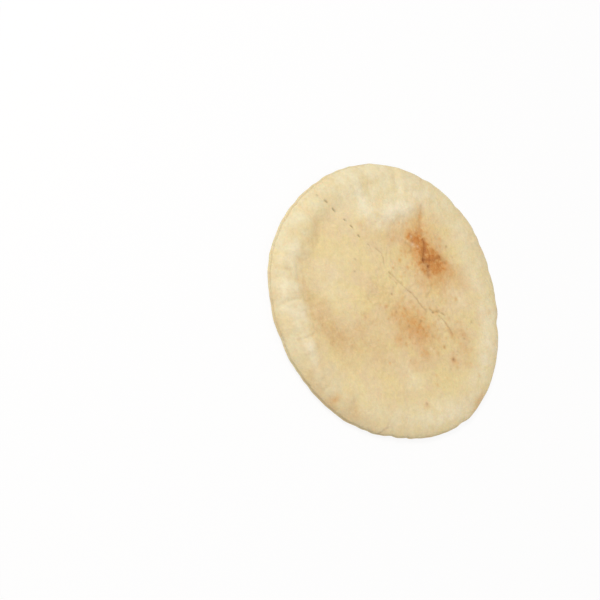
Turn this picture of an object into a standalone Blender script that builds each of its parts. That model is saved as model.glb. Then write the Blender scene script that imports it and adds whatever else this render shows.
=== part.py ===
"""Pita bread: one round pocket flatbread, lying flat with its puffed, toasted face up.

The loaf is one closed solid. A UV sphere is flattened onto the bread's own form: an uneven round
outline, a flat underside to rest on, a rolled edge where the two crusts are sealed, a puffed rim
with finger-wide pleats, a long blister with a crest on one side and a fold across the toasted patch.
Units are metres, +Z is up, and the origin is the middle of the bread's bounding box at its base.
"""

import math

import bmesh
import bpy
from mathutils import Matrix, Vector

MM = 0.001

# Overall form
MEAN_RADIUS = 90 * MM
BODY_HEIGHT = 7.9 * MM
DOME = 1.3 * MM
SEAM_HEIGHT = 3.2 * MM
# The outline's slow waves: (lobes round the edge, height, direction of the first lobe in degrees)
OUTLINE_WAVES = ((3, 1.7 * MM, 14), (4, 0.6 * MM, 32), (5, 0.4 * MM, 21))
# Small nicks in the edge: (direction in degrees, half width in degrees, depth)
EDGE_NICKS = ((86, 2.5, 1.0 * MM), (63, 2.5, 1.1 * MM), (334, 2.0, 0.7 * MM))

# Edge: how far the top and the underside stay level before they roll over
TOP_ROLL_POWER = 12.0
UNDERSIDE_FLAT = 0.80
UNDERSIDE_ROLL_POWER = 3.0
SEAM_GROOVE_DEPTH = 0.9 * MM
SEAM_GROOVE_WIDTH = 0.6 * MM
# The upper crust's lip stands back from the lower one: on average, and more towards LIP_DIRECTION
LIP_SETBACK = 0.5 * MM
LIP_SHOWN = 0.9 * MM
LIP_DIRECTION = 212
LIP_SPREAD = math.radians(50)
# Share of the radius beyond which the crust belongs to the edge
EDGE_SHARE = 0.94

# Puffed rim: a low step up from a shallow moat, fullest towards PUFF_DIRECTION
RIM_INNER = 70 * MM
RIM_SLOPE = 2.2 * MM
RIM_PUFF = 1.8 * MM
MOAT_RADIUS = 64 * MM
MOAT_WIDTH = 6 * MM
MOAT_DEPTH = 0.5 * MM
PUFF_DIRECTION = 245
PUFF_EVENNESS = 0.08
# Pleats across the rim: (direction in degrees, half width, depth)
RIM_PLEATS = (
    (234, 3.4 * MM, 0.9 * MM),
    (210, 4.0 * MM, 0.9 * MM),
    (271, 3.0 * MM, 0.7 * MM),
    (286, 5.0 * MM, 0.6 * MM),
    (312, 4.4 * MM, 0.5 * MM),
    (168, 3.0 * MM, 0.6 * MM),
    (152, 3.4 * MM, 0.8 * MM),
)

# Domes and hollows: (centre x, centre y, half length, half width, direction in degrees, height)
SWELLINGS = (
    (-55 * MM, 23.8 * MM, 25 * MM, 9.5 * MM, 96, 2.3 * MM),
    (-71.2 * MM, 18.7 * MM, 16 * MM, 6.5 * MM, 80, -1.0 * MM),
    (-76.3 * MM, -0.7 * MM, 14 * MM, 7 * MM, 80, 0.8 * MM),
    (23.7 * MM, 8.1 * MM, 26 * MM, 18 * MM, 20, 0.9 * MM),
    (-18.8 * MM, 39.4 * MM, 20 * MM, 11 * MM, 155, 0.8 * MM),
    (5.7 * MM, -45.2 * MM, 30 * MM, 16 * MM, 10, -0.6 * MM),
    (56.9 * MM, -33.2 * MM, 22 * MM, 15 * MM, 60, 0.5 * MM),
)

# Long lines in the crust, each the points that it bends at, and its section:
# the crest along the blister's inner side, and the fold through the toasted patch
CREST_LINE = ((-49.5 * MM, 47.6 * MM), (-51.4 * MM, 25.8 * MM), (-60 * MM, 3.6 * MM),
              (-76.3 * MM, -2.6 * MM))
CREST_WIDTH = 4.6 * MM
CREST_HEIGHT = 1.1 * MM
FOLD_LINE = ((-44.4 * MM, 45.5 * MM), (-34 * MM, 38.3 * MM), (-16.7 * MM, 34.3 * MM),
             (1.5 * MM, 30.3 * MM))
FOLD_WIDTH = 3.4 * MM
FOLD_DEPTH = 0.6 * MM

# Mesh density: steps round the bread and from top to underside
STEPS_AROUND = 144
STEPS_DOWN = 32

CRUST_COLOUR = (0.79, 0.62, 0.36, 1.0)
CRUST_ROUGHNESS = 0.72


def clear_scene():
    for obj in list(bpy.data.objects):
        bpy.data.objects.remove(obj, do_unlink=True)


def turn_from(angle, direction_deg):
    """Signed angle in radians from a direction to angle, between -pi and pi."""
    offset = angle - math.radians(direction_deg)
    return math.atan2(math.sin(offset), math.cos(offset))


def outline_radius(angle):
    """Distance from the middle to the edge: a circle with slow waves and a few nicks."""
    radius = MEAN_RADIUS
    for lobes, height, direction in OUTLINE_WAVES:
        radius += height * math.cos(lobes * (angle - math.radians(direction)))
    for direction, half_width, depth in EDGE_NICKS:
        share = math.degrees(turn_from(angle, direction)) / half_width
        radius -= depth * math.exp(-share * share)
    return radius


def rim_fullness(angle):
    """1 on the side where the rim is fullest, falling to PUFF_EVENNESS on the far side."""
    facing = 0.5 + 0.5 * math.cos(turn_from(angle, PUFF_DIRECTION))
    return PUFF_EVENNESS + (1 - PUFF_EVENNESS) * facing**1.5


def rim_relief(radius, angle):
    """The puffed ring, less the moat inside it and the pleats that cross it."""
    ring = 1 / (1 + math.exp(-(radius - RIM_INNER) / RIM_SLOPE))
    moat = math.exp(-(((radius - MOAT_RADIUS) / MOAT_WIDTH) ** 2))
    relief = rim_fullness(angle) * (RIM_PUFF * ring - MOAT_DEPTH * moat)
    for direction, half_width, depth in RIM_PLEATS:
        turn = turn_from(angle, direction)
        if abs(turn) < math.pi / 6:
            relief -= depth * ring * math.exp(-((turn * radius / half_width) ** 2))
    return relief


def swelling_relief(x, y):
    """Sum of the long domes and hollows, each a bell over a turned ellipse."""
    relief = 0.0
    for centre_x, centre_y, half_length, half_width, direction, height in SWELLINGS:
        local = Matrix.Rotation(-math.radians(direction), 2) @ Vector((x - centre_x, y - centre_y))
        relief += height * math.exp(-((local.x / half_length) ** 2 + (local.y / half_width) ** 2))
    return relief


def distance_to_line(point, line):
    """Shortest distance in plan from a point to a line of straight stretches."""
    shortest = math.inf
    for start, end in zip(line, line[1:]):
        start, end = Vector(start), Vector(end)
        along = end - start
        share = max(0.0, min(1.0, (point - start).dot(along) / along.length_squared))
        shortest = min(shortest, (point - start - along * share).length)
    return shortest


def line_relief(x, y, line, half_width, height):
    """A rounded ridge along a line, or a fold where its height is below zero."""
    away = distance_to_line(Vector((x, y)), line) / half_width
    return height * math.exp(-away * away)


def top_height(x, y, share):
    """Height of the upper crust above the table, before the edge rolls over."""
    radius, angle = math.hypot(x, y), math.atan2(y, x)
    height = BODY_HEIGHT + DOME * (1 - share * share)
    height += rim_relief(radius, angle) + swelling_relief(x, y)
    height += line_relief(x, y, CREST_LINE, CREST_WIDTH, CREST_HEIGHT)
    return height + line_relief(x, y, FOLD_LINE, FOLD_WIDTH, -FOLD_DEPTH)


def edge_inset(z, angle):
    """How far the sealed edge is drawn in: the seam's groove, and the upper lip's setback."""
    above = z - SEAM_HEIGHT
    groove = SEAM_GROOVE_DEPTH * math.exp(-((above / SEAM_GROOVE_WIDTH) ** 2))
    facing = math.exp(-((turn_from(angle, LIP_DIRECTION) / LIP_SPREAD) ** 2))
    lip = (LIP_SETBACK + LIP_SHOWN * facing) if above > 0.5 * MM else 0.0
    return groove + lip


def crust_point(direction):
    """Carries a point of the unit sphere to the bread's surface."""
    angle = math.atan2(direction.y, direction.x)
    share = min(1.0, math.hypot(direction.x, direction.y))
    radius = share * outline_radius(angle)
    x, y = radius * math.cos(angle), radius * math.sin(angle)
    if direction.z >= 0:
        level = math.sqrt(1 - share**TOP_ROLL_POWER)
        z = SEAM_HEIGHT + (top_height(x, y, share) - SEAM_HEIGHT) * level
    else:
        rise = max(0.0, (share - UNDERSIDE_FLAT) / (1 - UNDERSIDE_FLAT))
        z = SEAM_HEIGHT * (1 - math.sqrt(1 - rise**UNDERSIDE_ROLL_POWER))
    if share > EDGE_SHARE:
        shrink = 1 - edge_inset(z, angle) / radius
        x, y = x * shrink, y * shrink
    return Vector((x, y, z))


def crust_material():
    material = bpy.data.materials.new("baked_wheat_crust")
    material.use_nodes = True
    shader = material.node_tree.nodes["Principled BSDF"]
    shader.inputs["Base Color"].default_value = CRUST_COLOUR
    shader.inputs["Roughness"].default_value = CRUST_ROUGHNESS
    shader.inputs["Metallic"].default_value = 0.0
    return material


def centre_on_base(bm):
    """Moves the mesh so that its bounding box stands centred on the origin."""
    lows = Vector([min(v.co[axis] for v in bm.verts) for axis in range(3)])
    highs = Vector([max(v.co[axis] for v in bm.verts) for axis in range(3)])
    middle = (lows + highs) / 2
    bmesh.ops.translate(bm, verts=bm.verts, vec=(-middle.x, -middle.y, -lows.z))


def make_pita(collection):
    bm = bmesh.new()
    bmesh.ops.create_uvsphere(bm, u_segments=STEPS_AROUND, v_segments=STEPS_DOWN, radius=1.0)
    for vertex in bm.verts:
        vertex.co = crust_point(vertex.co)
    centre_on_base(bm)
    bmesh.ops.recalc_face_normals(bm, faces=bm.faces)
    mesh = bpy.data.meshes.new("pita_bread")
    bm.to_mesh(mesh)
    bm.free()
    mesh.shade_smooth()
    mesh.materials.append(crust_material())
    pita = bpy.data.objects.new("pita_bread", mesh)
    collection.objects.link(pita)
    return pita


def main():
    clear_scene()
    collection = bpy.data.collections.new("pita_bread")
    bpy.context.scene.collection.children.link(collection)
    make_pita(collection)


main()
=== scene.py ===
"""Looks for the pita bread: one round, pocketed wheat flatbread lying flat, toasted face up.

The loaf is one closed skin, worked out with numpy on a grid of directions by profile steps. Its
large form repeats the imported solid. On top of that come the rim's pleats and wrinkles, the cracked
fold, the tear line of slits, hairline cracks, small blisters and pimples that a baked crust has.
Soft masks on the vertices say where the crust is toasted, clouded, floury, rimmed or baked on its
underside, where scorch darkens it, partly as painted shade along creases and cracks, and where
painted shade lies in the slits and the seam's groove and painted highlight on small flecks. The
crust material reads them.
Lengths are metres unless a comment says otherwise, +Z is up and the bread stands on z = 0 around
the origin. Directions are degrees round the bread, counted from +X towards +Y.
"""

import math

import bpy
import numpy as np
from mathutils import Matrix, Vector


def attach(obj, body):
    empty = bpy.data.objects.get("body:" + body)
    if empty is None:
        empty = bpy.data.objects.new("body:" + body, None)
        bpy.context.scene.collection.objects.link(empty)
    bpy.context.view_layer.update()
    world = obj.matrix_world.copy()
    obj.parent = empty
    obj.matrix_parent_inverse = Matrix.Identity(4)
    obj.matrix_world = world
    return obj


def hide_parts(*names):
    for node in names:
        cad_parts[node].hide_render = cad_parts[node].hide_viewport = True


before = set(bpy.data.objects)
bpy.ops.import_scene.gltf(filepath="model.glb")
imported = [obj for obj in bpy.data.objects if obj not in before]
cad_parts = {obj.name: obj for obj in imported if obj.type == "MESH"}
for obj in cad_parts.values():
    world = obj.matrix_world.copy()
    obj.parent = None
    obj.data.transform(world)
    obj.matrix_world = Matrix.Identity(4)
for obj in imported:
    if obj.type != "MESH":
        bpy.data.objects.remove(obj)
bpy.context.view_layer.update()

MM = 0.001


# ---------------------------------------------------------------- large form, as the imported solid

MEAN_RADIUS = 90 * MM
BODY_HEIGHT = 7.9 * MM
DOME = 1.3 * MM
SEAM_HEIGHT = 3.2 * MM
# Slow waves of the outline: (lobes round the edge, height, direction of the first lobe in degrees)
OUTLINE_WAVES = ((3, 1.7 * MM, 14), (4, 0.6 * MM, 32), (5, 0.4 * MM, 21))
# Small nicks in the edge: (direction in degrees, half width in degrees, depth)
EDGE_NICKS = (
    (86, 2.5, 1.0 * MM), (63, 2.5, 1.1 * MM), (334, 2.0, 0.7 * MM),
    (136, 1.6, 0.5 * MM), (118, 1.8, 0.5 * MM), (103, 1.5, 0.4 * MM), (74, 1.4, 0.4 * MM),
    (342, 1.1, 0.5 * MM), (28, 2.0, 0.3 * MM), (12, 1.6, 0.3 * MM),
)
# Pinched grain of the outline: (height, share of the radius that a lump takes, seed), and scallops
# that are strongest towards SCALLOP_DIRECTION
OUTLINE_GRAINS = ((0.38 * MM, 0.16, 3), (0.42 * MM, 0.07, 4))
SCALLOP_HEIGHT = 0.55 * MM
SCALLOP_DIRECTION = 112
SCALLOP_SPREAD = math.radians(32)
SCALLOP_LOBES = 9
SCALLOP_TURN = 0.4
# Edge: how far the top and the underside stay level before they roll over to the seam
TOP_ROLL_POWER = 12.0
UNDERSIDE_FLAT = 0.80
UNDERSIDE_ROLL_POWER = 3.0
UNDERSIDE_LUMPS = 0.12 * MM
UNDERSIDE_LUMP_SIZE = 8 * MM
SEAM_GROOVE_DEPTH = 0.7 * MM
SEAM_GROOVE_WIDTH = 0.6 * MM
SEAM_GROOVE_RISE = 0.25 * MM
SEAM_WAVE = 0.35 * MM
SEAM_WAVE_SIZE = 0.3
# Where the edge begins, as a share of the radius, and over how much of it the lips come in
EDGE_START = 0.9
EDGE_BLEND = 0.06

# Puffed rim: a low step up from a shallow moat, fullest towards PUFF_DIRECTION, with lumps and
# wrinkles whose sizes are shares of the radius
RIM_INNER = 70 * MM
RIM_SLOPE = 2.2 * MM
RIM_PUFF = 1.8 * MM
MOAT_RADIUS = 64 * MM
MOAT_WIDTH = 6 * MM
MOAT_DEPTH = 0.6 * MM
PUFF_DIRECTION = 245
PUFF_EVENNESS = 0.08
# Wander of the ring's inner edge, in the same terms as the outline's grain
RIM_WANDERS = ((3.0 * MM, 0.42, 14), (1.2 * MM, 0.13, 15))
MOAT_BREAK_SIZE = 0.3
RIM_LUMPS = 0.9 * MM
RIM_LUMP_SIZE = 0.16
RIM_WRINKLES = 0.42 * MM
RIM_WRINKLE_SIZE = 0.075
RIM_WRINKLE_RADIUS = 82 * MM
RIM_WRINKLE_WIDTH = 9 * MM
# The upper crust's lip stands back from the lower one: on average, and more towards LIP_DIRECTION
LIP_SETBACK = 0.5 * MM
LIP_SHOWN = 0.9 * MM
LIP_DIRECTION = 212
LIP_SPREAD = math.radians(50)
LIP_RISE = 0.3 * MM
LIP_SOFTNESS = 0.2 * MM
# Pleats across the rim: (direction in degrees, half width, depth)
RIM_PLEATS = (
    (244, 3.0 * MM, 0.6 * MM), (234, 3.4 * MM, 0.9 * MM), (222, 2.6 * MM, 0.5 * MM),
    (210, 4.0 * MM, 0.9 * MM), (198, 2.6 * MM, 0.5 * MM), (188, 2.2 * MM, 0.4 * MM),
    (263, 4.5 * MM, 0.6 * MM), (286, 5.0 * MM, 0.6 * MM), (312, 4.4 * MM, 0.5 * MM),
    (168, 3.0 * MM, 0.6 * MM), (152, 3.4 * MM, 0.8 * MM),
)
# Domes and hollows: (centre x, centre y, half length, half width, direction, height), lengths in
# millimetres
SWELLINGS = (
    (-55, 23.8, 25, 9.5, 96, 2.3),
    (-71, 18.5, 16, 6.5, 80, -1),
    (-76.3, -0.7, 14, 7, 80, 0.8),
    (23.7, 8.1, 26, 18, 20, 0.9),
    (-18.8, 39.4, 20, 11, 155, 0.8),
    (5.7, -45.2, 30, 16, 10, -0.6),
    (56.9, -33.2, 22, 15, 60, 0.5),
)

# ---------------------------------------------------------------- fine form

# Folds and creases pressed into the crust: (half width, depth, points in millimetres)
FOLDS = (
    (3.4, 0.6, ((-41.3, 43.4), (-34, 38.3), (-16.7, 34.3), (1.5, 30.3))),
    (2, 0.1, ((-44.4, 45.5), (-39.8, 43.1), (-34.3, 40.7))),
    (1.2, 0.2, ((-39.2, 42.9), (-34.3, 40.7), (-27.9, 39.8))),
    (0.9, 0.6, ((-27.9, 39.8), (-22.3, 37.8), (-16.1, 33.8), (-11.4, 35.3),
                (-5.8, 33.2))),
    (1.1, 0.22, ((-5.8, 33.2), (0.2, 32.7), (4.9, 29.4), (6.6, 24.7))),
    (1.2, 0.4, ((-16.1, 33.8), (-13.3, 41.1), (-14, 47.3), (-9.6, 49.8))),
    (1.1, 0.3, ((-30.8, 26), (-26.8, 29.1), (-24.2, 26.5))),
    (1.1, 0.3, ((-33.9, 32.1), (-29.9, 31.6), (-26.8, 29.1))),
    (2.2, 0.7, ((-63.5, 36), (-57.6, 44.4), (-49.6, 49.6), (-43.4, 48.6))),
    (4.5, 0.48, ((-63.4, -28.2), (-56.2, -39.9), (-48.9, -53.2), (-39, -61.7))),
    (2.2, 0.3, ((-54.4, -34), (-49.3, -40.8), (-44.1, -51.3))),
    (1.5, 0.45, ((-39, -62.7), (-29.2, -66.4), (-17.5, -65.3))),
    (1.1, 0.4, ((-11.7, -68.1), (-2, -66.2), (5.8, -64.2))),
    (1.8, 0.35, ((-57.7, -22.3), (-62.2, -34.1))),
    (3.5, 0.25, ((11.6, -25.7), (1.8, -41.3), (-5.9, -56.7))),
    (1, 0.9, ((2.9, -69), (3.3, -75.5), (2.8, -82))),
    (1.2, 0.8, ((-20.4, -70.1), (-22.2, -77.6), (-21.2, -84.3))),
    (1.6, 0.5, ((35.7, -73.4), (37.6, -78.9))),
    (1.3, 0.75, ((-38.8, -68.3), (-42.6, -75.2), (-44.5, -79.2))),
)
# Ridges that stand up from it: (half width, height, points in millimetres)
RIDGES = (
    (4.6, 1.1, ((-50.5, 45.4), (-50.8, 38.2), (-51, 25.8), (-53.7, 13.6), (-59.4, 3.5),
                (-68.3, -1.6), (-76.2, -2.7))),
    (3, 0.7, ((-51.5, 46.5), (-57.6, 43.3), (-67.4, 33.9))),
    (6, 0.4, ((-79.9, -10.5), (-73.4, -24.4), (-64.9, -41.8))),
    (5, 0.7, ((-51.6, -60.9), (-46.5, -71.7))),
    (4, 0.8, ((-79.7, 9.7), (-78.3, 24.5), (-71.7, 39), (-61.9, 51.5))),
    (4, 0.5, ((-84.4, 0.4), (-74.5, 5.4))),
    (4, 0.4, ((-30.4, 3.7), (-14.2, -16.1), (-8.1, -29.8))),
    (4.5, 0.6, ((-32.9, -72.1), (-27, -79.4))),
    (5, 0.6, ((-15.5, -71.9), (-8.7, -79.4))),
    (3.2, 0.5, ((7.7, -68), (9.6, -81.1))),
    (5, 0.4, ((21.3, -69.8), (25.1, -79.1))),
)
# Hairline cracks, some of them running on from the slits: (strength, points in millimetres)
HAIRLINES = (
    (0.25, ((-33.6, 0.4), (-29.5, 3.2), (-25.5, 3.3), (-22.9, 2.4))),
    (0.30, ((-16.6, 3.1), (-13, 5.6), (-9.4, 7.2), (-6.8, 9.6), (-3.8, 10.7), (0.2, 14.1))),
    (0.48, ((-1.6, 12.4), (0.8, 14.6), (3.5, 15.4), (5.6, 16.6), (7.6, 16.5), (9.2, 17.4))),
    (0.36, ((9.2, 17.4), (11.4, 18.1), (14.1, 19.8), (15.4, 20))),
    (0.20, ((-14.4, 2.2), (-11.2, 4.6), (-7.9, 5.9))),
    (0.30, ((14.6, 23.4), (17.3, 26.2), (18.4, 30.2), (21.4, 33.4))),
    (0.26, ((20.6, 28.4), (24.6, 31.2), (29.4, 32.6), (33.6, 34.2))),
    (0.34, ((74.6, -48), (73.1, -44.2), (72.8, -40.9))),
)
HAIRLINE_WIDTH = 0.5 * MM
HAIRLINE_DEPTH = 0.35 * MM
# Dark line of the hairlines, partly scorch and partly painted shade in the cracks, and its breaks
HAIRLINE_SCORCH_AND_SHADE_WIDTH = 0.6 * MM
HAIRLINE_BREAK_SIZE = 4 * MM
# The tear line runs this way. Each slit is painted with shade, darker the deeper it is: full at
# this depth in millimetres, but never darker than SLIT_DARKEST
SLIT_DIRECTION = 31
SLIT_DARK_DEPTH = 0.9
SLIT_DARKEST = 0.85
# Slits of the tear line: (x, y, half length, half width, depth) in millimetres
SLITS = (
    (-77.5, -27.1, 0.77, 0.44, 0.4), (-71.9, -22.9, 1.44, 0.55, 0.88),
    (-65.2, -19, 1.61, 0.52, 0.88),
    (-57, -14.2, 1.1, 0.48, 0.59), (-51.7, -11.3, 1.27, 0.48, 0.7),
    (-44.6, -8.6, 1.27, 0.48, 0.65),
    (-37.2, -3.9, 1.19, 0.41, 0.32), (17.2, 24.7, 0.77, 0.44, 0.4),
    (17.5, 28.5, 0.68, 0.37, 0.28),
    (20.4, 32.9, 1.44, 0.44, 0.32),
)
# Toasted patches: (x, y, half length, half width in millimetres, direction, strength)
TOASTED = (
    (-15.8, 40.5, 10, 7, 40, 0.62), (-28.9, 35.7, 10, 5.5, 165, 0.58), (-32.9, 30.1, 7, 5, 0, 0.36),
    (-8.7, 46.8, 9, 5, 50, 0.3), (-1.6, 51, 10, 6, 40, 0.2), (-4.6, 38.5, 7, 5, 20, 0.3),
    (-12.6, 30.2, 8, 4, 10, 0.26), (-21, 37, 23, 13, 165, 0.34), (2.5, 41.7, 15, 8, 20, 0.18),
    (-43.4, 45.5, 5, 2.2, 145, 0.22), (-28.7, 22.9, 6, 3, 20, 0.2), (7.6, 57.3, 9, 4, 30, 0.07),
    (20.7, 8.1, 8, 8, 60, 0.26), (21.7, 6.1, 18, 13, 25, 0.26), (24.6, -8.9, 4, 4, 80, 0.3),
    (11.6, 4, 5, 7, 10, 0.14), (29.7, 12.2, 5, 7, 20, 0.14), (40.7, 6.2, 6, 5, 0, 0.2),
    (43.5, -3.8, 6, 4, 30, 0.14), (8.6, -4, 4, 3, 0, 0.14), (3.7, -26.8, 3, 3, 0, 0.18),
    (-40.8, 20.8, 6, 4, 0, 0.14), (-37.6, 12.7, 6, 3, 60, 0.12), (-49.2, -4.3, 4, 3, 30, 0.2),
    (44.5, -72, 4.8, 2.8, 95, 0.3), (-0.5, 24.1, 6, 2, 15, 0.18), (32.9, 33.6, 6, 2.4, 20, 0.28),
    (16.7, 27.3, 3, 3.4, 30, 0.26), (38.1, 41.9, 5, 3, 40, 0.22), (47.2, 38.9, 5, 3, 30, 0.2),
    (56.3, 36.9, 6, 3, 60, 0.18), (50, 27.1, 3, 3, 0, 0.3), (68.9, -6.3, 2.8, 2.8, 0, 0.2),
    (79.8, 37.8, 8, 2.5, 125, 0.26), (-66.3, 58.8, 3, 2, 140, 0.2), (9.6, -33.5, 4, 3, 0, 0.12),
)
# Clouds of light tan, in the same terms
CLOUDS = (
    (-0.1, -55.7, 16, 8, 10, 0.62), (-27.3, -62.6, 13, 5, 170, 0.6), (12.6, -48.9, 12, 7, 60, 0.5),
    (-11.7, -66.2, 14, 4, 5, 0.4), (24.4, -29.5, 15, 10, 40, 0.34), (7.7, -23.8, 7, 4, 85, 0.25),
    (36, 38.8, 16, 5, 30, 0.25), (11.6, -4, 24, 9, 20, 0.28), (-36.6, 11.7, 9, 5, 60, 0.25),
    (-0.6, 51, 20, 7, 10, 0.12), (-42.3, -2.4, 9, 5, 40, 0.2), (33.8, 16.2, 14, 10, 30, 0.18),
    (-20.5, 15.9, 10, 5, 20, 0.2), (32.8, -81.6, 28, 7, -14, 0.6), (62.2, -63.7, 20, 8, 40, 0.42),
    (9.6, -75.5, 14, 5, 5, 0.3), (-21.1, -87.1, 22, 3.5, -12, 0.4), (29.2, -51.7, 8, 5, 40, 0.2),
    (-8.3, -10.1, 10, 6, 60, 0.2), (-64.5, -54.8, 5, 12, -40, 0.2), (-55.2, -39.8, 5, 14, 28, 0.4),
    (-45.9, -57, 9, 3.5, -42, 0.5), (50.4, -67.3, 12, 8, 35, 0.4),
)
# Scorched dots: (x, y, radius in millimetres, strength)
SCORCHED = (
    (-16.1, 34.1, 2.3, 0.75), (-11.4, 35.3, 1.7, 0.7), (-14, 47, 1.5, 0.4), (-9.8, 49.8, 1.3, 0.3),
    (-12.8, 42.6, 1.6, 0.25), (-22.3, 38, 1.6, 0.35), (-28, 39.9, 1.6, 0.22), (-34, 36.2, 1.5, 0.2),
    (19.8, 2.2, 1.3, 0.35), (19.3, 12.5, 1.4, 0.35), (25.2, 11.1, 1.3, 0.2), (29.4, 9.6, 1.4, 0.15),
    (50, 27.1, 1.4, 0.6), (68.9, -6.3, 1.1, 0.4), (31.2, 17.4, 1.4, 0.2), (-3.1, -1.4, 0.9, 0.4),
    (8.4, -3.3, 1.1, 0.28), (9.1, 4.2, 1, 0.2), (32.3, 52.7, 0.9, 0.35), (40.3, 41.9, 1.1, 0.35),
    (40.4, 23.6, 1.1, 0.25), (-31.8, -18.4, 0.9, 0.25), (-24.7, -22, 0.9, 0.35),
    (-19, 56.1, 1.1, 0.4), (33.9, 33.6, 1.4, 0.25), (-27.8, 28.6, 1.2, 0.3),
    (17.1, 25.3, 1.2, 0.45), (17.7, 30.4, 1, 0.3), (46.1, 32.7, 0.9, 0.2), (13.7, 20.2, 0.9, 0.2),
    (55, 22.5, 0.8, 0.2), (4.2, -27.3, 1, 0.2),
)

# Pale floury places on the blister and round it, in the same terms as the toasted patches
FLOURED = (
    (-51, 25, 25, 5.5, 94, 0.95), (-64, 3, 13, 6, 15, 0.75), (-73, 0, 13, 7, 10, 0.5),
    (-71, 24, 16, 8, 80, 0.2), (-60, 42, 13, 4, 45, 0.6),
    (-80, 28, 12, 5, 75, 0.45), (-34, -30, 20, 12, 120, 0.2), (-62, -12, 12, 8, 110, 0.25),
    (72, -20, 26, 8, 80, 0.35), (44, -46, 20, 9, 40, 0.15), (52, 58, 18, 7, 140, 0.5),
    (54, -8, 6, 4, 0, 0.4), (25, 30, 6, 3, 60, 0.3), (-30, -77, 5, 7, 70, 0.75),
    (-11, -76, 6, 8, 90, 0.7), (8, -76, 3, 8, 90, 0.8), (-49, -64, 9, 4, 125, 0.8),
    (0, 70, 46, 7, 0, 0.35), (12, 49, 12, 8, 30, 0.5), (-20, -43, 18, 11, 20, 0.3),
    (50, -8, 14, 10, 0, 0.25), (-59, 53, 11, 8, 40, 0.35), (58, 58, 20, 9, 140, 0.3),
    (80, 8, 20, 7, 85, 0.75),
    (66, 42, 17, 7, 130, 0.4), (34, 66, 14, 6, 155, 0.4), (-20, -82, 3, 5, 90, 0.4),
    (-27, -72, 4, 5, 90, 0.35), (-68, -46, 12, 4, 125, 0.3), (20, -77, 3, 6, 90, 0.4),
)
# The blister's whole skin, creamy like the rim, in the same terms
BLISTERED = ((-66, 17, 24, 20, 75, 0.92), (-62, 38, 16, 12, 40, 0.6))
# Painted highlights: small pale flecks for glints on the tops of blisters: (x, y, radius, strength)
GLINT_FLECKS = (
    (-28, 30, 1.4, 0.55), (-33, 31.5, 1.1, 0.51), (-25.5, 33, 1, 0.41), (-31, 27, 1, 0.41),
    (15, 50.5, 1.2, 0.51), (38, 12.5, 1.1, 0.51), (40, 14, 0.8, 0.41), (45, -10, 1.1, 0.46),
    (33, -13, 0.9, 0.35), (42, -14, 1, 0.41), (5, 44, 0.8, 0.3), (-9, 26, 0.9, 0.3),
    (28, 29, 0.9, 0.35), (-12, -50, 1, 0.35), (-18, -53, 1, 0.35), (36, -24, 0.9, 0.3),
    (20, 52, 0.8, 0.26), (-3, 31, 0.8, 0.26), (-36, 36, 0.9, 0.3), (9, 33, 0.8, 0.26),
)
# A scorched dot's bell is this much narrower than its radius
SCORCH_TIGHTNESS = 0.8
# Creases darkened with scorch, partly real and partly painted shade in them: (number of the fold
# above, half width in millimetres, strength)
CREASE_SCORCH_AND_SHADE = (
    (1, 2.2, 0.07), (2, 1.5, 0.14), (3, 1.4, 0.38), (4, 1, 0.1), (5, 1.5, 0.24), (6, 1.2, 0.2),
    (7, 1.2, 0.18),
)

# Uneven crust: wide swells, and small pimples that stand up more round CRUMPLED, each with
# (size, height, seed)
SWELLS = ((19 * MM, 0.36 * MM, 5), (9 * MM, 0.17 * MM, 6))
PIMPLES = ((4.4 * MM, 0.26 * MM, 7), (2.4 * MM, 0.19 * MM, 8))
CRUMPLED = (5 * MM, 8 * MM)
CRUMPLED_REACH = 48 * MM
PIMPLES_LEAST = 0.6
PIMPLES_MORE = 0.9
# Blisters, low domes scattered at random: (centre x, centre y, spread, number, height) in
# millimetres, and their least and greatest size
BLISTERS = (
    (-26, 40, 9, 26, 0.26), (24, 14, 15, 22, 0.16), (34, 34, 9, 16, 0.16), (0, 0, 42, 60, 0.09),
)
BLISTER_SIZES = (1.0, 2.4)
# Freckles of toasting, scattered in the same way: (centre x, centre y, spread, number, strength)
FRECKLES = (
    (20, 6, 13, 70, 0.34), (38, 26, 13, 46, 0.24), (-20, 34, 12, 80, 0.36), (8, 40, 14, 30, 0.16),
)
FRECKLE_SIZES = (0.6, 1.5)
FRECKLE_DEPTHS = (0.3, 1.0)
# How far grain carries the edges of a kind of patch to and fro, and the size of that grain
TOAST_WANDER = (1.8 * MM, 8 * MM)
CLOUD_WANDER = (5 * MM, 12 * MM)
FLOUR_WANDER = (2 * MM, 9 * MM)
# The pale rim: it begins here, over this width, and is palest towards this direction
PALE_RADIUS = 70 * MM
PALE_WIDTH = 2.8 * MM
PALE_DIRECTION = 205
PALE_LEAST = 0.35
PALE_MORE = 0.60
# Painted shade in the pleats: how much of the pale skin a pleat takes away for each millimetre of
# its depth, and the share of the pleat's width that it does so over
PLEAT_SHADE = 0.7
PLEAT_SHADE_WIDTH = 0.6
# Painted shade along the seam's groove: its strength, its height over the seam and its half width
SEAM_SHADE_LINE = 0.5
SEAM_SHADE_RISE = 0.4 * MM
SEAM_SHADE_WIDTH = 0.35 * MM
# Blots where the underside lay on the stone: sizes of wide and small ones, and their strength
BLOT_SIZE = 17 * MM
SMALL_BLOT_SIZE = 7 * MM
SMALL_BLOT_SHARE = 0.4
BLOT_START = 0.05
BLOT_STRENGTH = 0.75

# Density of the grid, and the share of the radius at which the rings of the face end
STEPS_AROUND = 640
FACE_SHARE = 0.93
TOP_RINGS = 112
EDGE_RINGS = 18
BOTTOM_RINGS = 22

# The square lattice of the grain: its number of corners a side, how far it is shifted, and the
# factor that brings the height to about -1 to 1
LATTICE = 64
LATTICE_SHIFT = (31.7, 17.3)
GRAIN_GAIN = 1.5


# ---------------------------------------------------------------- helpers of the form

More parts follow.
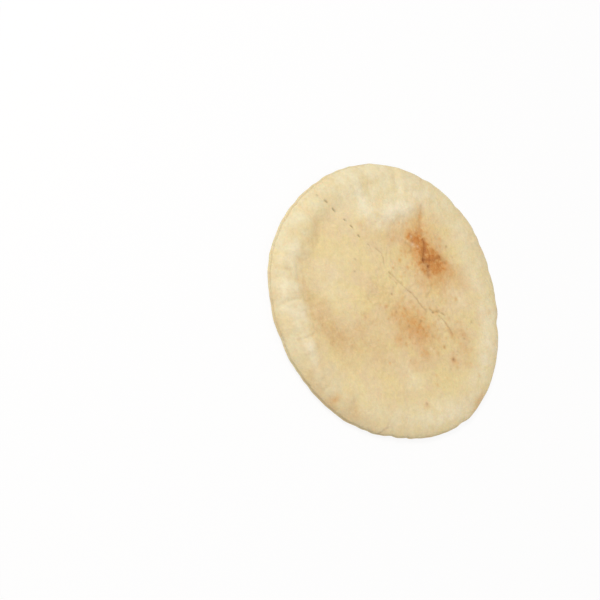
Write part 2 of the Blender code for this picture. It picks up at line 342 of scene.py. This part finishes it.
def grain(x, y, size, seed):
    """Smooth random height, about -1 to 1: each corner of a square lattice of the given size has
    a random slope, and the four slopes round a point are blended by a smooth step."""
    tilt = np.random.default_rng(seed).uniform(0, 2 * math.pi, (LATTICE, LATTICE))
    u, v = x / size + LATTICE_SHIFT[0], y / size + LATTICE_SHIFT[1]
    column, row = np.floor(u).astype(int), np.floor(v).astype(int)
    along, across = u - column, v - row
    total = np.zeros_like(u)
    for i in (0, 1):
        for j in (0, 1):
            angle = tilt[(column + i) % LATTICE, (row + j) % LATTICE]
            slope = np.cos(angle) * (along - i) + np.sin(angle) * (across - j)
            near_u = along if i else 1 - along
            near_v = across if j else 1 - across
            weight = near_u**2 * (3 - 2 * near_u) * near_v**2 * (3 - 2 * near_v)
            total += weight * slope
    return total * GRAIN_GAIN


def bell(distance, half_width):
    """1 at no distance, falling as a bell curve with the half width."""
    return np.exp(-((distance / half_width) ** 2))


def turn_from(angle, direction_deg):
    """Signed angle in radians from a direction to each angle, between -pi and pi."""
    offset = angle - math.radians(direction_deg)
    return np.arctan2(np.sin(offset), np.cos(offset))


def turned(x, y, centre_x, centre_y, direction_deg):
    """Each point seen from a centre, along and across a direction."""
    c, s = math.cos(math.radians(direction_deg)), math.sin(math.radians(direction_deg))
    return (x - centre_x) * c + (y - centre_y) * s, (y - centre_y) * c - (x - centre_x) * s


def line_distance(x, y, points):
    """Shortest distance in plan from each point to a line of straight stretches."""
    shortest = np.full_like(x, np.inf)
    for (ax, ay), (bx, by) in zip(points, points[1:]):
        dx, dy = (bx - ax) * MM, (by - ay) * MM
        px, py = x - ax * MM, y - ay * MM
        share = np.clip((px * dx + py * dy) / (dx * dx + dy * dy), 0, 1)
        shortest = np.minimum(shortest, np.hypot(px - share * dx, py - share * dy))
    return shortest


def outline_radius(angle):
    """Mean radius plus slow cosine waves, less bells for the nicks, plus grain and the size of a
    sine wave for small scallops, which a bell keeps to the side of SCALLOP_DIRECTION."""
    radius = np.full_like(angle, MEAN_RADIUS)
    for lobes, height, direction in OUTLINE_WAVES:
        radius += height * np.cos(lobes * (angle - math.radians(direction)))
    for direction, half_width, depth in EDGE_NICKS:
        radius -= depth * bell(np.degrees(turn_from(angle, direction)), half_width)
    ring_x, ring_y = np.cos(angle), np.sin(angle)
    for height, size, seed in OUTLINE_GRAINS:
        radius += height * grain(ring_x, ring_y, size, seed)
    scallops = np.abs(np.sin(SCALLOP_LOBES * angle + SCALLOP_TURN))
    near_by = bell(turn_from(angle, SCALLOP_DIRECTION), SCALLOP_SPREAD)
    return radius + SCALLOP_HEIGHT * near_by * scallops


def facing_share(angle, direction):
    """1 at a direction, falling as a cosine to 0 on the opposite side."""
    return 0.5 + 0.5 * np.cos(turn_from(angle, direction))


def rim_relief(radius, angle):
    """The puffed ring, a smooth step outwards, less the bell of the moat inside it and the bells
    of the pleats that cross it, with lumps of grain on the ring and finer wrinkles near the edge.
    The ring's inner edge wanders in and out, and grain breaks up the moat."""
    ring_x, ring_y = np.cos(angle), np.sin(angle)
    fullness = PUFF_EVENNESS + (1 - PUFF_EVENNESS) * facing_share(angle, PUFF_DIRECTION) ** 1.5
    wander = sum(height * grain(ring_x, ring_y, size, seed) for height, size, seed in RIM_WANDERS)
    ring = 1 / (1 + np.exp(-(radius - RIM_INNER - wander) / RIM_SLOPE))
    moat = bell(radius - MOAT_RADIUS - wander, MOAT_WIDTH)
    moat *= np.clip(0.6 + 0.9 * grain(ring_x, ring_y, MOAT_BREAK_SIZE, 16), 0, 1.2)
    lumps = RIM_LUMPS * grain(ring_x, ring_y + radius * 1.2, RIM_LUMP_SIZE, 17)
    relief = fullness * (RIM_PUFF * ring - MOAT_DEPTH * moat + lumps * ring)
    for direction, half_width, depth in RIM_PLEATS:
        relief -= depth * ring * bell(turn_from(angle, direction) * radius, half_width)
    wrinkles = grain(ring_x, ring_y + radius * 0.8, RIM_WRINKLE_SIZE, 11)
    outer = bell(radius - RIM_WRINKLE_RADIUS, RIM_WRINKLE_WIDTH)
    return relief + RIM_WRINKLES * wrinkles * outer


def swelling_relief(x, y):
    """Sum of the long domes and hollows, each a bell over a turned ellipse."""
    relief = np.zeros_like(x)
    for centre_x, centre_y, half_length, half_width, direction, height in SWELLINGS:
        along, across = turned(x, y, centre_x * MM, centre_y * MM, direction)
        reach = (along / (half_length * MM)) ** 2 + (across / (half_width * MM)) ** 2
        relief += height * MM * np.exp(-reach)
    return relief


def blister_relief(x, y):
    """Small baked blisters: the sum of bells at random places, crowded round the toasted
    patches."""
    rng = np.random.default_rng(21)
    relief = np.zeros_like(x)
    for centre_x, centre_y, spread, number, height in BLISTERS:
        places = rng.normal(0, spread, (number, 2)) + (centre_x, centre_y)
        sizes = rng.uniform(*BLISTER_SIZES, number)
        for (blister_x, blister_y), size in zip(places, sizes):
            away = np.hypot(x - blister_x * MM, y - blister_y * MM)
            relief += height * MM * bell(away, size * MM)
    return relief


def slit_mask(x, y):
    """How much painted shade lies in each slit of the tear line, 0 away from it, and the depth
    there: a bell across the slit, cut off at its ends."""
    slit_shading, depth = np.zeros_like(x), np.zeros_like(x)
    for slit_x, slit_y, half_length, half_width, deep in SLITS:
        along, across = turned(x, y, slit_x * MM, slit_y * MM, SLIT_DIRECTION)
        run = np.abs(along) / (half_length * MM)
        shape = np.exp(-(run**4)) * bell(across, half_width * MM)
        slit_shading = np.maximum(slit_shading, shape * min(SLIT_DARKEST, deep / SLIT_DARK_DEPTH))
        depth = np.maximum(depth, shape * deep * MM)
    return slit_shading, depth


def crust_relief(x, y):
    """Blisters, swells, pimples and ridges added up, less folds, hairline cracks and slits."""
    relief = blister_relief(x, y)
    crumpled = bell(np.hypot(x - CRUMPLED[0], y - CRUMPLED[1]), CRUMPLED_REACH)
    for size, height, seed in SWELLS:
        relief += height * grain(x, y, size, seed)
    for size, height, seed in PIMPLES:
        relief += (PIMPLES_LEAST + PIMPLES_MORE * crumpled) * height * grain(x, y, size, seed)
    for half_width, depth, points in FOLDS:
        relief -= depth * MM * bell(line_distance(x, y, points), half_width * MM)
    for half_width, height, points in RIDGES:
        relief += height * MM * bell(line_distance(x, y, points), half_width * MM)
    for strength, points in HAIRLINES:
        relief -= HAIRLINE_DEPTH * bell(line_distance(x, y, points), HAIRLINE_WIDTH)
    return relief - slit_mask(x, y)[1]


def patch_mask(x, y, patches, wander_and_size):
    """How far each place is coloured by patches: bells over turned ellipses, added as veils, with
    their edges carried to and fro by grain."""
    wander, size = wander_and_size
    shift_x = wander * grain(x, y, size, 31)
    shift_y = wander * grain(x, y, size, 32)
    mask = np.zeros_like(x)
    for centre_x, centre_y, half_length, half_width, direction, strength in patches:
        along, across = turned(x + shift_x, y + shift_y, centre_x * MM, centre_y * MM, direction)
        reach = (along / (half_length * MM)) ** 2 + (across / (half_width * MM)) ** 2
        mask = mask + strength * np.exp(-reach) * (1 - mask)
    return mask


def freckle_mask(x, y):
    """How far each place is toasted by freckles: small bells at random places round a centre."""
    rng = np.random.default_rng(57)
    mask = np.zeros_like(x)
    for centre_x, centre_y, spread, number, strength in FRECKLES:
        places = rng.normal(0, spread, (number, 2)) + (centre_x, centre_y)
        sizes = rng.uniform(*FRECKLE_SIZES, number)
        depths = strength * rng.uniform(*FRECKLE_DEPTHS, number)
        for (freckle_x, freckle_y), size, depth in zip(places, sizes, depths):
            away = np.hypot(x - freckle_x * MM, y - freckle_y * MM)
            mask = np.maximum(mask, depth * bell(away, size * MM))
    return mask


def scorch_and_crack_shade_mask(x, y):
    """How far each place is darkened with scorch: single dots, and along the fold's creases and the
    hairlines partly real scorch and partly painted shade in them.
    """
    mask = np.zeros_like(x)
    for fold, half_width, strength in CREASE_SCORCH_AND_SHADE:
        away = line_distance(x, y, FOLDS[fold][2])
        mask = np.maximum(mask, strength * bell(away, half_width * MM))
    broken = np.clip(0.75 + 0.5 * grain(x, y, HAIRLINE_BREAK_SIZE, 33), 0.2, 1)
    for strength, points in HAIRLINES:
        line = bell(line_distance(x, y, points), HAIRLINE_SCORCH_AND_SHADE_WIDTH)
        mask = np.maximum(mask, strength * broken * line)
    for dot_x, dot_y, radius, strength in SCORCHED:
        away = np.hypot(x - dot_x * MM, y - dot_y * MM)
        mask = np.maximum(mask, strength * bell(away, SCORCH_TIGHTNESS * radius * MM))
    return mask


def rim_mask(radius, angle):
    """How much each place belongs to the pale rim: a smooth step outwards, fullest on the near
    side, that goes round the edge onto the underside and is thinned in the pleats as painted shade."""
    rim = 1 / (1 + np.exp(-(radius - PALE_RADIUS) / PALE_WIDTH))
    pleat_shading = np.zeros_like(rim)
    for direction, half_width, depth in RIM_PLEATS:
        across = bell(turn_from(angle, direction) * radius, PLEAT_SHADE_WIDTH * half_width)
        pleat_shading = np.maximum(pleat_shading, PLEAT_SHADE * across * depth / MM)
    return rim * (PALE_LEAST + PALE_MORE * facing_share(angle, PALE_DIRECTION)) * (1 - pleat_shading)


def under_mask(x, y):
    """How far the underside is tanned where it lay on the hot stone: rounded blots of grain."""
    blots = grain(x, y, BLOT_SIZE, 41) + SMALL_BLOT_SHARE * grain(x, y, SMALL_BLOT_SIZE, 42)
    return BLOT_STRENGTH * np.clip(blots - BLOT_START, 0, 1)


def glint_mask(x, y):
    """How much painted highlight each place gets: small bells on the flecks."""
    mask = np.zeros_like(x)
    for fleck_x, fleck_y, radius, strength in GLINT_FLECKS:
        away = np.hypot(x - fleck_x * MM, y - fleck_y * MM)
        mask = np.maximum(mask, strength * bell(away, radius * MM))
    return mask


def ring_table():
    """Each ring's share of the outline's radius and its part of the skin: 1 top, 0 underside.
    Rings are even over the face and close up by a quarter circle at the edge."""
    face = np.linspace(0, FACE_SHARE, TOP_RINGS, endpoint=False)[1:]
    roll = FACE_SHARE + (1 - FACE_SHARE) * np.sin(np.linspace(0, math.pi / 2, EDGE_RINGS))
    under = np.cos(np.linspace(0, math.pi / 2, BOTTOM_RINGS + 1)[1:-1])
    share = np.concatenate([face, roll, under])
    is_top = np.concatenate([np.ones(len(face) + len(roll)), np.zeros(len(under))])
    return share[:, None], is_top[:, None]


def loaf_skin():
    """The closed skin as arrays: a grid of rings by directions with a pole at the top and one at
    the underside. Height on top is the seam's height plus the crust's height above it, times a
    root that drops to nothing at the edge; on the underside it rises to the seam in the same way.
    The edge is then drawn in by the seam's groove and by the upper lip's setback."""
    share, is_top = ring_table()
    angle = np.linspace(0, 2 * math.pi, STEPS_AROUND, endpoint=False)[None, :]
    angle = np.arctan2(np.sin(angle), np.cos(angle))
    outline = outline_radius(angle)
    radius = share * outline
    x, y = radius * np.cos(angle), radius * np.sin(angle)
    wide_angle = np.broadcast_to(angle, x.shape)

    top = BODY_HEIGHT + DOME * (1 - share**2) + rim_relief(radius, wide_angle)
    top = top + swelling_relief(x, y) + crust_relief(x, y)
    level = np.sqrt(np.clip(1 - share**TOP_ROLL_POWER, 0, 1))
    top_z = SEAM_HEIGHT + (top - SEAM_HEIGHT) * level
    rise = np.clip((share - UNDERSIDE_FLAT) / (1 - UNDERSIDE_FLAT), 0, 1)
    under_z = SEAM_HEIGHT * (1 - np.sqrt(1 - rise**UNDERSIDE_ROLL_POWER))
    lumps = UNDERSIDE_LUMPS * (1 + grain(x, y, UNDERSIDE_LUMP_SIZE, 9))
    under_z = under_z + lumps * (1 - rise)
    z = np.where(is_top > 0, top_z, under_z)

    waves = grain(np.cos(wide_angle), np.sin(wide_angle), SEAM_WAVE_SIZE, 12)
    above = z - SEAM_HEIGHT - SEAM_WAVE * waves
    groove = SEAM_GROOVE_DEPTH * bell(above - SEAM_GROOVE_RISE, SEAM_GROOVE_WIDTH)
    shown = LIP_SETBACK + LIP_SHOWN * bell(turn_from(wide_angle, LIP_DIRECTION), LIP_SPREAD)
    setback = shown / (1 + np.exp(-(above - LIP_RISE) / LIP_SOFTNESS))
    near_edge = np.clip((share - EDGE_START) / EDGE_BLEND, 0, 1)
    shrink = 1 - near_edge * (groove + setback) / np.maximum(radius, 1 * MM)
    x, y = x * shrink, y * shrink

    toasted = patch_mask(x, y, TOASTED, TOAST_WANDER)
    rimmed = rim_mask(radius, wide_angle)
    masks = {
        "toasted": (toasted + freckle_mask(x, y) * (1 - toasted)) * is_top,
        "clouded": patch_mask(x, y, CLOUDS, CLOUD_WANDER) * is_top,
        # scorch, partly painted shade along creases and cracks
        "scorch_and_crack_shade": scorch_and_crack_shade_mask(x, y) * is_top,
        # painted shade inside the slits of the tear line
        "shaded_slits": slit_mask(x, y)[0] * is_top,
        "floury": patch_mask(x, y, FLOURED, FLOUR_WANDER) * is_top,
        "rimmed": rimmed + patch_mask(x, y, BLISTERED, FLOUR_WANDER) * (1 - rimmed) * is_top,
        # painted highlight on small flecks
        "painted_glint": glint_mask(x, y) * is_top,
        # painted shade in the groove where the upper lip meets the lower one
        "shaded_seam": SEAM_SHADE_LINE * bell(above - SEAM_SHADE_RISE, SEAM_SHADE_WIDTH) * near_edge,
        "baked_under": under_mask(x, y) * (1 - is_top),
    }
    return x, y, z, masks


def pole_value(grid, ring):
    """Mean of a ring: the value that its pole takes."""
    return grid[ring].mean()


def skin_mesh(name, x, y, z, masks):
    """A mesh of the grid: quads between neighbouring rings, a fan of triangles at each pole, and
    one vertex attribute per mask."""
    rings, steps = x.shape
    points = np.stack([x, y, z], axis=2).reshape(-1, 3)
    poles = np.array([[0, 0, pole_value(z, 0)], [0, 0, pole_value(z, -1)]])
    points = np.concatenate([points, poles])
    lows, highs = points.min(axis=0), points.max(axis=0)
    points -= ((lows[0] + highs[0]) / 2, (lows[1] + highs[1]) / 2, lows[2])

    ring, step = np.meshgrid(np.arange(rings - 1), np.arange(steps), indexing="ij")
    after = (step + 1) % steps
    quads = np.stack([ring * steps + step, (ring + 1) * steps + step,
                      (ring + 1) * steps + after, ring * steps + after], axis=2).reshape(-1, 4)
    step = np.arange(steps)
    after = (step + 1) % steps
    top_fan = np.stack([step, after, np.full(steps, rings * steps)], axis=1)
    last = (rings - 1) * steps
    bottom_fan = np.stack([last + after, last + step, np.full(steps, rings * steps + 1)], axis=1)
    faces = quads.tolist() + top_fan.tolist() + bottom_fan.tolist()

    mesh = bpy.data.meshes.new(name)
    mesh.from_pydata(points.tolist(), [], faces)
    for mask_name, grid in masks.items():
        values = np.append(grid.reshape(-1), [pole_value(grid, 0), pole_value(grid, -1)])
        layer = mesh.attributes.new(mask_name, "FLOAT", "POINT")
        layer.data.foreach_set("value", values.astype(np.float32))
    mesh.shade_smooth()
    mesh.validate()
    return mesh


# ---------------------------------------------------------------- materials

HONEY, GOLD, ROSY = "#e5cfa0", "#e7d39c", "#e7cda5"
CREAM, PALE = "#e5dab4", "#f3e9ca"
# The last colour below is scorch, laid partly as painted shade along creases and cracks
TAN, TOAST, BROWN, SCORCH_AND_SHADE = "#d0aa74", "#d4954b", "#b66b2e", "#7a3f16"
# Below: painted shade inside the slits, painted shade in the seam's groove, the underside's own
# stone tan and a painted highlight for the flecks
SLIT_SHADE, SEAM_SHADE, STONE_TAN, GLINT = "#8f7f58", "#c6b48e", "#c99b62", "#f8e6bf"
# Noise that breaks up the crust's colours, each from a real size: (size in millimetres, detail,
# roughness, distortion, lowest and highest noise taken, and what they become)
CRUST_PATTERNS = {
    "tint": (13, 3, 0.5, 0.3, 0.42, 0.60, 0.0, 1.0),
    "blush": (7, 2, 0.5, 0.0, 0.50, 0.70, 0.0, 0.42),
    "cloud_break": (4.5, 4, 0.6, 0.5, 0.32, 0.66, 0.45, 1.25),
    "flour_break": (8, 4, 0.5, 0.0, 0.38, 0.60, 0.45, 1.0),
    "flecks": (3.0, 6, 0.7, 0.6, 0.32, 0.68, 0.66, 1.26),
    "mottle": (3.2, 5, 0.65, 0.0, 0.30, 0.70, 0.945, 1.055),
    "grit": (1.7, 3, 0.6, 0.0, 0.30, 0.70, 0.965, 1.035),
}
# Crumbly grain of the flour: its size, its height and how sharply it is drawn
CRUMB_SIZE = 1.6 * MM
CRUMB_HEIGHT = 0.6 * MM
CRUMB_SHARPNESS = 0.9
# The crust is matt, and a little smoother where it is toasted
PLAIN_ROUGHNESS = 0.70
TOASTED_ROUGHNESS = 0.48
STARCH_IOR = 1.45
CRUST_SPECULAR = 0.35
# How much light goes in under the skin, and how far its red, green and blue parts get
LIGHT_LET_IN = 0.2
LIGHT_REACH = (1.2 * MM, 0.7 * MM, 0.4 * MM)


def srgb(hex_colour):
    """An sRGB hex colour as linear red, green, blue and full alpha."""
    parts = [int(hex_colour[i:i + 2], 16) / 255 for i in (1, 3, 5)]
    linear = [p / 12.92 if p <= 0.04045 else ((p + 0.055) / 1.055) ** 2.4 for p in parts]
    return (*linear, 1.0)


def add_node(tree, kind, links=None, inputs=None, **settings):
    """Adds a node: settings are its own properties, inputs are socket values by name or number,
    and links join its sockets to other nodes' outputs."""
    made = tree.nodes.new(kind)
    for key, value in settings.items():
        setattr(made, key, value)
    for socket, value in (inputs or {}).items():
        made.inputs[socket].default_value = value
    for socket, source in (links or {}).items():
        tree.links.new(source, made.inputs[socket])
    return made


def new_material(name):
    material = bpy.data.materials.new(name)
    material.use_nodes = True
    tree = material.node_tree
    tree.nodes.clear()
    return material, tree


def baked_crust(mask_names):
    """Wheat crust, baked on a hot stone: dry, matt, and letting a little light in under its skin.
    Pale and floury where it puffed, honey yellow over the face, and brown and a bit smoother where
    it touched the heat."""
    material, tree = new_material("baked_wheat_crust")
    place = add_node(tree, "ShaderNodeTexCoord").outputs["Object"]
    masks = {}
    for name in mask_names:
        masks[name] = add_node(tree, "ShaderNodeAttribute", attribute_name=name).outputs["Fac"]
    patterns = {}
    for name, pattern in CRUST_PATTERNS.items():
        size, detail, roughness, swirl, low, high, to_low, to_high = pattern
        noise = add_node(tree, "ShaderNodeTexNoise", {"Vector": place},
                         {"Scale": 1 / (size * MM), "Detail": detail, "Roughness": roughness,
                          "Distortion": swirl})
        patterns[name] = add_node(tree, "ShaderNodeMapRange", {"Value": noise.outputs["Fac"]},
                                  {"From Min": low, "From Max": high, "To Min": to_low,
                                   "To Max": to_high}).outputs["Result"]

    # Each mask is broken into flecks or clouds by its noise
    broken = {}
    for mask, pattern in (("clouded", "cloud_break"), ("rimmed", "flour_break"),
                          ("floury", "flour_break"), ("toasted", "flecks"),
                          ("scorch_and_crack_shade", "flecks"), ("baked_under", "flecks")):
        broken[mask] = add_node(tree, "ShaderNodeMath", {0: masks[mask], 1: patterns[pattern]},
                                operation="MULTIPLY", use_clamp=True).outputs[0]
    browning = add_node(tree, "ShaderNodeMapRange", {"Value": broken["toasted"]},
                        {"From Min": 0.50, "From Max": 1.0, "To Max": 0.9}).outputs["Result"]
    toasting = add_node(tree, "ShaderNodeMapRange", {"Value": broken["toasted"]},
                        {"From Max": 0.66, "To Max": 0.95}).outputs["Result"]

    # Colours laid over each other as thin veils, from the dough's own to the darkest scorch, which
    # is partly painted shade in creases and cracks, then painted highlight on the flecks and painted
    # shade in the seam's groove and in the slits
    colour = add_node(tree, "ShaderNodeMix", {0: patterns["tint"]},
                      {6: srgb(GOLD), 7: srgb(HONEY)}, data_type="RGBA").outputs[2]
    for veil, shade in ((patterns["blush"], ROSY), (broken["clouded"], TAN),
                        (broken["baked_under"], STONE_TAN), (broken["rimmed"], CREAM),
                        (broken["floury"], PALE), (toasting, TOAST), (browning, BROWN),
                        (broken["scorch_and_crack_shade"], SCORCH_AND_SHADE), (masks["painted_glint"], GLINT),
                        (masks["shaded_seam"], SEAM_SHADE), (masks["shaded_slits"], SLIT_SHADE)):
        colour = add_node(tree, "ShaderNodeMix", {0: veil, 6: colour}, {7: srgb(shade)},
                          data_type="RGBA").outputs[2]
    for shading in ("mottle", "grit"):
        colour = add_node(tree, "ShaderNodeMix", {6: colour, 7: patterns[shading]}, {0: 1.0},
                          data_type="RGBA", blend_type="MULTIPLY").outputs[2]

    # The flour's crumbly grain, drawn coarser than real grains so that it shows
    crumbs = add_node(tree, "ShaderNodeTexNoise", {"Vector": place},
                      {"Scale": 1 / CRUMB_SIZE, "Detail": 4.0, "Roughness": 0.65})
    bump = add_node(tree, "ShaderNodeBump", {"Height": crumbs.outputs["Fac"]},
                    {"Strength": CRUMB_SHARPNESS, "Distance": CRUMB_HEIGHT})
    roughness = add_node(tree, "ShaderNodeMapRange", {"Value": broken["toasted"]},
                         {"To Min": PLAIN_ROUGHNESS, "To Max": TOASTED_ROUGHNESS})
    shader = add_node(tree, "ShaderNodeBsdfPrincipled",
                      {"Base Color": colour, "Normal": bump.outputs[0],
                       "Roughness": roughness.outputs["Result"]},
                      {"IOR": STARCH_IOR, "Specular IOR Level": CRUST_SPECULAR,
                       "Subsurface Weight": LIGHT_LET_IN, "Subsurface Radius": LIGHT_REACH,
                       "Subsurface Scale": 1.0})
    add_node(tree, "ShaderNodeOutputMaterial", {"Surface": shader.outputs[0]})
    return material


CARD = "#f6f6f6"
PLAIN_SHARE = 0.88


def white_board():
    """White card under the bread: plain and matt. To the camera and in mirrors it is mostly plain
    white and the rest lit card, so it stays white and still takes the bread's shadow."""
    material, tree = new_material("white_card")
    lit = add_node(tree, "ShaderNodeBsdfDiffuse", inputs={"Color": srgb(CARD)})
    white = add_node(tree, "ShaderNodeEmission", inputs={"Color": (1, 1, 1, 1), "Strength": 1.0})
    rays = add_node(tree, "ShaderNodeLightPath")
    seen = add_node(tree, "ShaderNodeMath", {0: rays.outputs["Is Camera Ray"],
                                             1: rays.outputs["Is Glossy Ray"]},
                    operation="ADD", use_clamp=True)
    seen = add_node(tree, "ShaderNodeMath", {0: seen.outputs[0],
                                             1: rays.outputs["Is Transmission Ray"]},
                    operation="ADD", use_clamp=True)
    share = add_node(tree, "ShaderNodeMath", {0: seen.outputs[0]}, {1: PLAIN_SHARE},
                     operation="MULTIPLY")
    blend = add_node(tree, "ShaderNodeMixShader", {0: share.outputs[0], 1: lit.outputs[0],
                                                   2: white.outputs[0]})
    add_node(tree, "ShaderNodeOutputMaterial", {"Surface": blend.outputs[0]})
    return material


# ---------------------------------------------------------------- the bread

x, y, z, masks = loaf_skin()
loaf = bpy.data.objects.new("pita_loaf", skin_mesh("pita_loaf", x, y, z, masks))
bpy.context.scene.collection.objects.link(loaf)
loaf.data.materials.append(baked_crust(tuple(masks)))
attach(loaf, "root")
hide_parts("pita_bread")

# ---------------------------------------------------------------- floor, camera and light

FLOOR_HALF = 4.0
floor_mesh = bpy.data.meshes.new("floor")
floor_mesh.from_pydata([(-FLOOR_HALF, -FLOOR_HALF, 0), (FLOOR_HALF, -FLOOR_HALF, 0),
                        (FLOOR_HALF, FLOOR_HALF, 0), (-FLOOR_HALF, FLOOR_HALF, 0)],
                       [], [(0, 1, 2, 3)])
floor = bpy.data.objects.new("floor", floor_mesh)
bpy.context.scene.collection.objects.link(floor)
floor_mesh.materials.append(white_board())

# The camera looks down on the bread from its near side and is rolled about its own view line, so
# that the far side shows to the right. It aims a little to the left of the bread.
CAMERA_DISTANCE = 1.4
CAMERA_ELEVATION = math.radians(50.55)
CAMERA_AZIMUTH = math.radians(-0.16)
CAMERA_ROLL = math.radians(68.8)
AIM_OFFSET = (-56.25 * MM, 1.54 * MM)
FRAME_WIDTH = 378.5 * MM
SENSOR = 36.0
CLIP_END = 20

bread_middle = Vector((0, 0, SEAM_HEIGHT))
away = Vector((math.sin(CAMERA_AZIMUTH) * math.cos(CAMERA_ELEVATION),
               -math.cos(CAMERA_AZIMUTH) * math.cos(CAMERA_ELEVATION),
               math.sin(CAMERA_ELEVATION)))
level_right = Vector((math.cos(CAMERA_AZIMUTH), math.sin(CAMERA_AZIMUTH), 0))
level_up = away.cross(level_right)
right = math.cos(CAMERA_ROLL) * level_right + math.sin(CAMERA_ROLL) * level_up
up = -math.sin(CAMERA_ROLL) * level_right + math.cos(CAMERA_ROLL) * level_up
stand = bread_middle + away * CAMERA_DISTANCE
aim = bread_middle + right * AIM_OFFSET[0] + up * AIM_OFFSET[1]
back = (stand - aim).normalized()
side = up.cross(back).normalized()
camera_data = bpy.data.cameras.new("camera")
camera_data.sensor_width = SENSOR
camera_data.lens = SENSOR * CAMERA_DISTANCE / FRAME_WIDTH
camera_data.clip_end = CLIP_END
camera = bpy.data.objects.new("camera", camera_data)
axes = Matrix((side, back.cross(side), back)).transposed().to_4x4()
camera.matrix_world = Matrix.Translation(stand) @ axes
bpy.context.scene.collection.objects.link(camera)
bpy.context.scene.camera = camera


def area_light(name, place, size, watts, colour):
    """A square soft light at a place, turned to face the bread."""
    data = bpy.data.lights.new(name, "AREA")
    data.size = size
    data.energy = watts
    data.color = srgb(colour)[:3]
    lamp = bpy.data.objects.new(name, data)
    lamp.location = place
    lamp.rotation_euler = (-Vector(place)).to_track_quat("-Z", "Y").to_euler()
    bpy.context.scene.collection.objects.link(lamp)


area_light("key_window", (-0.84, -0.50, 1.16), 0.5, 13.4, "#fffaf6")
area_light("fill_card", (0.9, 0.5, 0.9), 1.2, 3.8, "#fff4ee")

SKY_STRENGTH = 0.45
world = bpy.data.worlds.new("studio")
world.use_nodes = True
world.node_tree.nodes["Background"].inputs["Color"].default_value = (1, 1, 1, 1)
world.node_tree.nodes["Background"].inputs["Strength"].default_value = SKY_STRENGTH
bpy.context.scene.world = world
bpy.context.scene.view_settings.view_transform = "Standard"
